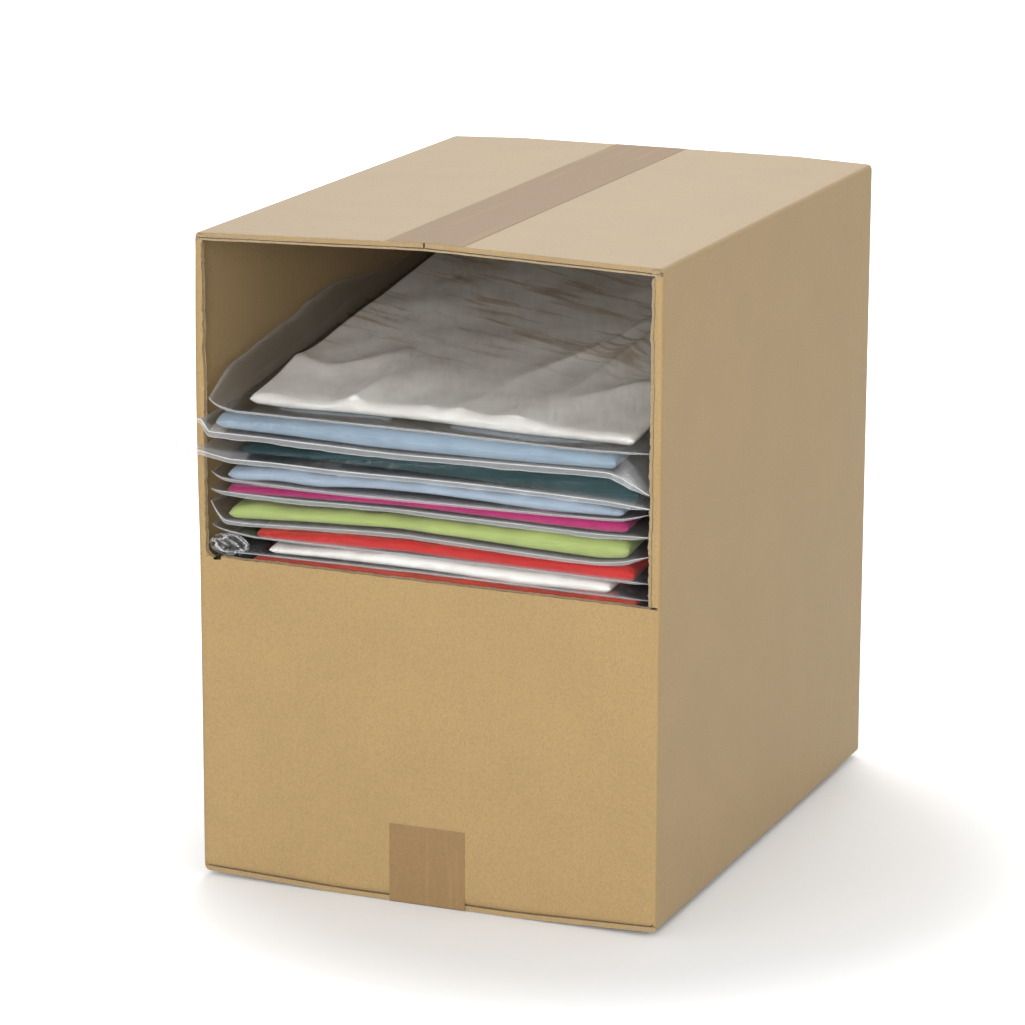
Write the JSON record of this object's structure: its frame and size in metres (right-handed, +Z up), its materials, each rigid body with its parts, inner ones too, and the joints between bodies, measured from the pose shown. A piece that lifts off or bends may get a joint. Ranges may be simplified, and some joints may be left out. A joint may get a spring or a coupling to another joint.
{
  "type": "shipping box",
  "caption": "Taped corrugated shipping box with the upper front panel torn out along its perforation, holding a stack of folded garments in clear bags.",
  "frame": {"origin": "on the floor under the middle of the box's four panels, on the underside of the bottom tape", "axes": "+Z up; the front panel with the torn window faces -Y; +X to the right of it"},
  "size_m": [0.3, 0.4064, 0.4112],
  "materials": {
    "kraft_board": "matt brown kraft liner on fluted board",
    "packing_tape": "brown satin packing tape",
    "clear_film": "thin clear glossy film",
    "white_cloth": "soft off-white cloth",
    "light_blue_cloth": "soft cloth",
    "teal_cloth": "soft cloth",
    "pale_blue_cloth": "soft cloth",
    "magenta_cloth": "soft cloth",
    "lime_cloth": "soft cloth",
    "red_cloth": "soft cloth",
    "orange_cloth": "soft cloth",
    "grey_cloth": "soft cloth"
  },
  "bodies": {
    "root": {"carton": "kraft_board", "top_tape": "packing_tape", "bottom_tape": "packing_tape", "white_garment": "white_cloth", "white_bag": "clear_film", "light_blue_garment": "light_blue_cloth", "light_blue_bag": "clear_film", "teal_garment": "teal_cloth", "teal_bag": "clear_film", "pale_blue_garment": "pale_blue_cloth", "pale_blue_bag": "clear_film", "magenta_garment": "magenta_cloth", "magenta_bag": "clear_film", "lime_garment": "lime_cloth", "lime_bag": "clear_film", "red_garment": "red_cloth", "red_bag": "clear_film", "slim_white_garment": "white_cloth", "slim_white_bag": "clear_film", "orange_garment": "orange_cloth", "orange_bag": "clear_film", "lower_01_garment": "grey_cloth", "lower_01_bag": "clear_film", "lower_02_garment": "grey_cloth", "lower_02_bag": "clear_film", "lower_03_garment": "grey_cloth", "lower_03_bag": "clear_film", "lower_04_garment": "grey_cloth", "lower_04_bag": "clear_film", "lower_05_garment": "grey_cloth", "lower_05_bag": "clear_film", "lower_06_garment": "grey_cloth", "lower_06_bag": "clear_film", "lower_07_garment": "grey_cloth", "lower_07_bag": "clear_film", "lower_08_garment": "grey_cloth", "lower_08_bag": "clear_film"}
  },
  "joints": []
}
